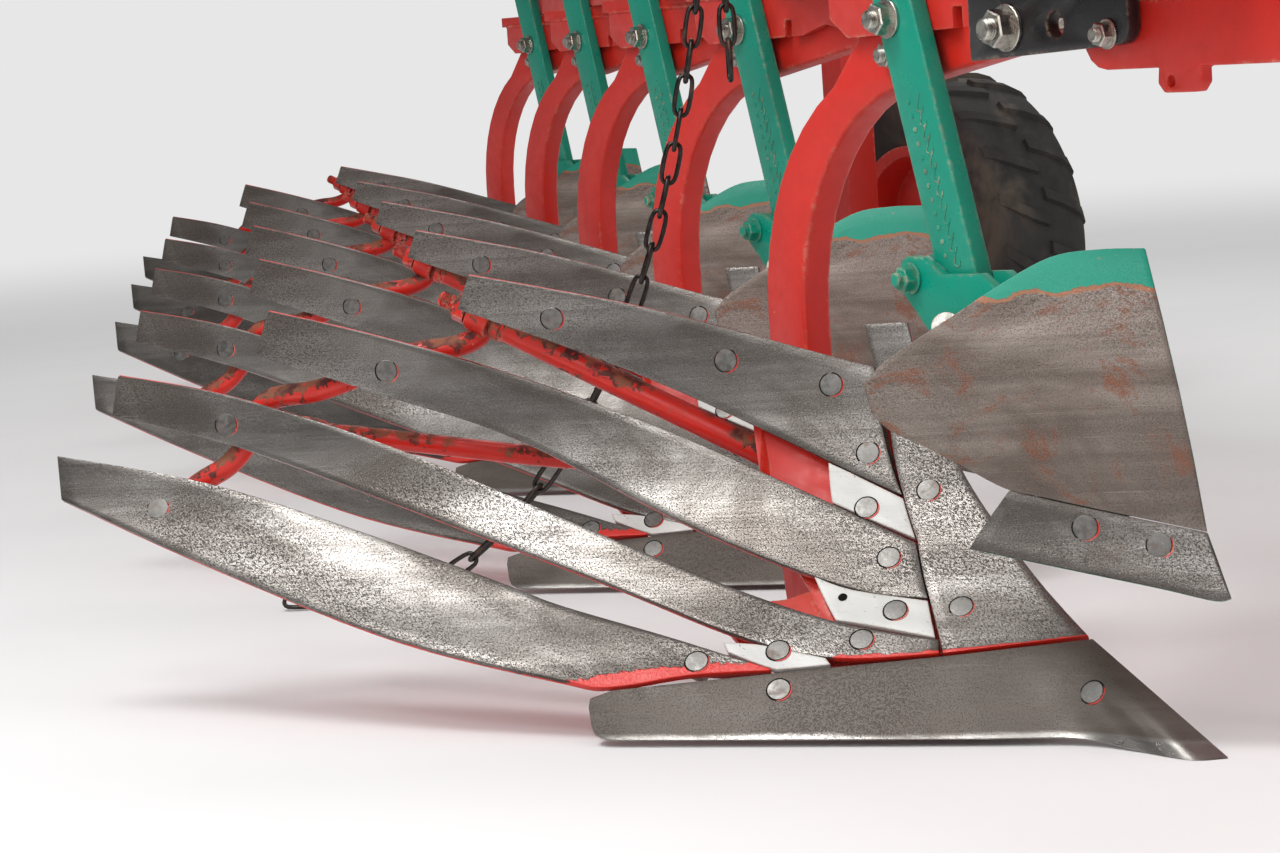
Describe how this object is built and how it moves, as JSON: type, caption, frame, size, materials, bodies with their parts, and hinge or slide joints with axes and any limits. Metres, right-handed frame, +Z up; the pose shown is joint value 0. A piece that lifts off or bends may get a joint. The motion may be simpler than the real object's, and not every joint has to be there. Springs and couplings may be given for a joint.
{
  "type": "moldboard plough",
  "caption": "Mounted one-way moldboard plough with slatted boards, skimmers, a diagonal beam, a tractor hitch, a depth wheel and a parking stand.",
  "frame": {"origin": "centre of the footprint of the whole plough, on the floor it is parked on", "axes": "+X forward in the direction of travel, +Y to the left (landside), +Z up"},
  "size_m": [5.3076, 2.5508, 1.3434],
  "materials": {
    "red_paint": "gloss paint, chipped",
    "green_paint": "gloss paint, chipped",
    "black_paint": "satin paint",
    "worn_steel": "soil-polished, pitted",
    "bare_steel": "bare, dull",
    "tyre": "matt"
  },
  "bodies": {
    "frame": {"main_beam": "red_paint", "cross_beam": "red_paint", "brace_tube": "red_paint", "gusset_plates": "red_paint", "mast_plates": "red_paint", "mast_stays": "red_paint", "drop_plates": "red_paint", "hitch_shaft": "bare_steel", "furrow_plate": "black_paint", "furrow_arm": "red_paint", "cheek_plates": "red_paint", "legs": "red_paint", "frogs": "red_paint", "fillers": "worn_steel", "landsides": "worn_steel", "shins": "worn_steel", "share_1": "worn_steel", "share_2": "worn_steel", "share_3": "worn_steel", "share_4": "worn_steel", "share_5": "worn_steel", "slats_1": "worn_steel", "slats_2": "worn_steel", "slats_3": "worn_steel", "slats_4": "worn_steel", "slats_5": "worn_steel", "adjusting_rods": "red_paint", "tail_brackets": "red_paint", "lower_stays": "red_paint", "stem_holders": "red_paint", "skimmer_stems": "green_paint", "skimmer_brackets": "green_paint", "skimmer_boards": "worn_steel", "skimmer_shares": "worn_steel", "wheel_bracket": "red_paint", "wheel_crank": "bare_steel", "stand_sleeve": "red_paint", "chain_hook": "red_paint", "drag_chain": "bare_steel"},
    "wheel_post": {"wheel_post": "red_paint"},
    "wheel": {"wheel_rim": "red_paint", "wheel_tyre": "tyre"},
    "stand": {"stand_leg": "red_paint"}
  },
  "joints": [
    {"name": "depth_wheel_height", "type": "slide", "parent": "frame", "child": "wheel_post", "axis": [0, 0, 1], "range_m": [0, 0.3]},
    {"name": "depth_wheel_spin", "type": "hinge", "parent": "wheel_post", "child": "wheel", "pos_m": [-0.38818, 0.91428, 0.3], "axis": [0, 1, 0], "continuous": true},
    {"name": "stand_height", "type": "slide", "parent": "frame", "child": "stand", "axis": [0, 0, 1], "range_m": [0, 0.45]}
  ]
}
